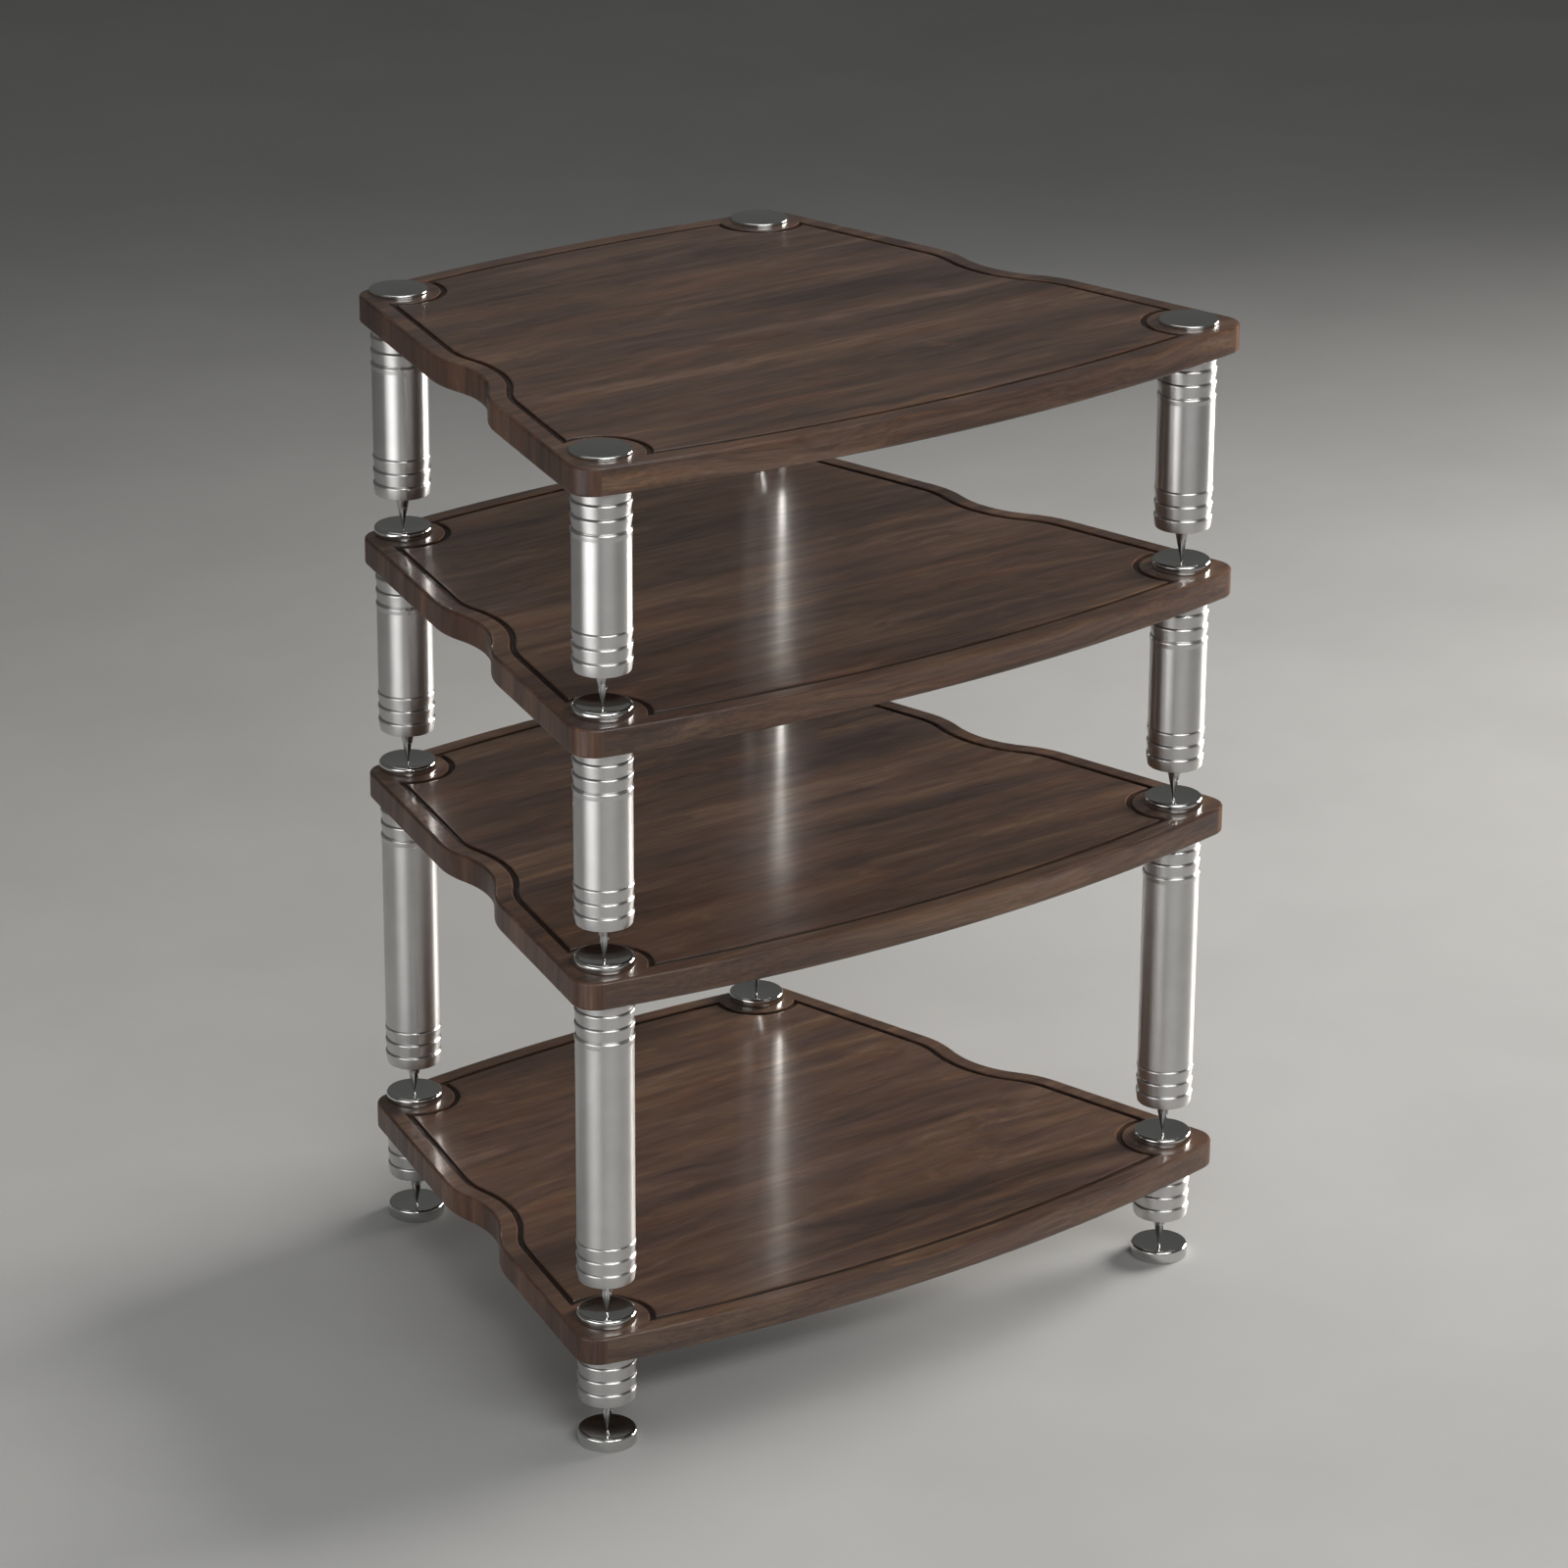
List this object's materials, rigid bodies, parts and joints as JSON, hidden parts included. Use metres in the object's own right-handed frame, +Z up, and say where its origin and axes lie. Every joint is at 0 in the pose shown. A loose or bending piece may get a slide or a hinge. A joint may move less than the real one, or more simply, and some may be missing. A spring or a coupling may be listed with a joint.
{
  "type": "hi-fi rack",
  "caption": "Open hi-fi rack: waisted walnut shelves on ringed aluminium columns whose spikes stand in dished cups and floor pads.",
  "frame": {"origin": "on the floor, below the middle of the shelves' overall width and depth", "axes": "+Z up, -Y towards the front (the wide, bowed side), +X to the right seen from the front"},
  "size_m": [0.695, 0.5749, 0.8922],
  "materials": {
    "walnut": "gloss",
    "turned_aluminium": "satin",
    "polished_metal": "polished",
    "spike_steel": "polished",
    "screw_steel": "plain"
  },
  "bodies": {
    "base": {"pad_fl": "polished_metal", "pad_fr": "polished_metal", "pad_bl": "polished_metal", "pad_br": "polished_metal"},
    "tier_1": {"shelf_1": "walnut", "screws_1": "screw_steel", "column_1_fl": "turned_aluminium", "column_1_fr": "turned_aluminium", "column_1_bl": "turned_aluminium", "column_1_br": "turned_aluminium", "cup_2_fl": "polished_metal", "cup_2_fr": "polished_metal", "cup_2_bl": "polished_metal", "cup_2_br": "polished_metal"},
    "spike_1_fl": {"spike_1_fl": "spike_steel"},
    "spike_1_fr": {"spike_1_fr": "spike_steel"},
    "spike_1_bl": {"spike_1_bl": "spike_steel"},
    "spike_1_br": {"spike_1_br": "spike_steel"},
    "tier_2": {"shelf_2": "walnut", "screws_2": "screw_steel", "column_2_fl": "turned_aluminium", "column_2_fr": "turned_aluminium", "column_2_bl": "turned_aluminium", "column_2_br": "turned_aluminium", "cup_3_fl": "polished_metal", "cup_3_fr": "polished_metal", "cup_3_bl": "polished_metal", "cup_3_br": "polished_metal"},
    "spike_2_fl": {"spike_2_fl": "spike_steel"},
    "spike_2_fr": {"spike_2_fr": "spike_steel"},
    "spike_2_bl": {"spike_2_bl": "spike_steel"},
    "spike_2_br": {"spike_2_br": "spike_steel"},
    "tier_3": {"shelf_3": "walnut", "screws_3": "screw_steel", "column_3_fl": "turned_aluminium", "column_3_fr": "turned_aluminium", "column_3_bl": "turned_aluminium", "column_3_br": "turned_aluminium", "cup_4_fl": "polished_metal", "cup_4_fr": "polished_metal", "cup_4_bl": "polished_metal", "cup_4_br": "polished_metal"},
    "spike_3_fl": {"spike_3_fl": "spike_steel"},
    "spike_3_fr": {"spike_3_fr": "spike_steel"},
    "spike_3_bl": {"spike_3_bl": "spike_steel"},
    "spike_3_br": {"spike_3_br": "spike_steel"},
    "tier_4": {"shelf_4": "walnut", "screws_4": "screw_steel", "column_4_fl": "turned_aluminium", "column_4_fr": "turned_aluminium", "column_4_bl": "turned_aluminium", "column_4_br": "turned_aluminium", "cap_fl": "polished_metal", "cap_fr": "polished_metal", "cap_bl": "polished_metal", "cap_br": "polished_metal"},
    "spike_4_fl": {"spike_4_fl": "spike_steel"},
    "spike_4_fr": {"spike_4_fr": "spike_steel"},
    "spike_4_bl": {"spike_4_bl": "spike_steel"},
    "spike_4_br": {"spike_4_br": "spike_steel"}
  },
  "joints": [
    {"name": "tier_1_lift", "type": "slide", "parent": "base", "child": "tier_1", "axis": [0, 0, 1], "range_m": [0, 0.05]},
    {"name": "spike_1_fl_screw", "type": "slide", "parent": "tier_1", "child": "spike_1_fl", "axis": [0, 0, 1], "range_m": [0, 0.006]},
    {"name": "spike_1_fr_screw", "type": "slide", "parent": "tier_1", "child": "spike_1_fr", "axis": [0, 0, 1], "range_m": [0, 0.006]},
    {"name": "spike_1_bl_screw", "type": "slide", "parent": "tier_1", "child": "spike_1_bl", "axis": [0, 0, 1], "range_m": [0, 0.006]},
    {"name": "spike_1_br_screw", "type": "slide", "parent": "tier_1", "child": "spike_1_br", "axis": [0, 0, 1], "range_m": [0, 0.006]},
    {"name": "tier_2_lift", "type": "slide", "parent": "tier_1", "child": "tier_2", "axis": [0, 0, 1], "range_m": [0, 0.05]},
    {"name": "spike_2_fl_screw", "type": "slide", "parent": "tier_2", "child": "spike_2_fl", "axis": [0, 0, 1], "range_m": [0, 0.006]},
    {"name": "spike_2_fr_screw", "type": "slide", "parent": "tier_2", "child": "spike_2_fr", "axis": [0, 0, 1], "range_m": [0, 0.006]},
    {"name": "spike_2_bl_screw", "type": "slide", "parent": "tier_2", "child": "spike_2_bl", "axis": [0, 0, 1], "range_m": [0, 0.006]},
    {"name": "spike_2_br_screw", "type": "slide", "parent": "tier_2", "child": "spike_2_br", "axis": [0, 0, 1], "range_m": [0, 0.006]},
    {"name": "tier_3_lift", "type": "slide", "parent": "tier_2", "child": "tier_3", "axis": [0, 0, 1], "range_m": [0, 0.05]},
    {"name": "spike_3_fl_screw", "type": "slide", "parent": "tier_3", "child": "spike_3_fl", "axis": [0, 0, 1], "range_m": [0, 0.006]},
    {"name": "spike_3_fr_screw", "type": "slide", "parent": "tier_3", "child": "spike_3_fr", "axis": [0, 0, 1], "range_m": [0, 0.006]},
    {"name": "spike_3_bl_screw", "type": "slide", "parent": "tier_3", "child": "spike_3_bl", "axis": [0, 0, 1], "range_m": [0, 0.006]},
    {"name": "spike_3_br_screw", "type": "slide", "parent": "tier_3", "child": "spike_3_br", "axis": [0, 0, 1], "range_m": [0, 0.006]},
    {"name": "tier_4_lift", "type": "slide", "parent": "tier_3", "child": "tier_4", "axis": [0, 0, 1], "range_m": [0, 0.05]},
    {"name": "spike_4_fl_screw", "type": "slide", "parent": "tier_4", "child": "spike_4_fl", "axis": [0, 0, 1], "range_m": [0, 0.006]},
    {"name": "spike_4_fr_screw", "type": "slide", "parent": "tier_4", "child": "spike_4_fr", "axis": [0, 0, 1], "range_m": [0, 0.006]},
    {"name": "spike_4_bl_screw", "type": "slide", "parent": "tier_4", "child": "spike_4_bl", "axis": [0, 0, 1], "range_m": [0, 0.006]},
    {"name": "spike_4_br_screw", "type": "slide", "parent": "tier_4", "child": "spike_4_br", "axis": [0, 0, 1], "range_m": [0, 0.006]}
  ]
}
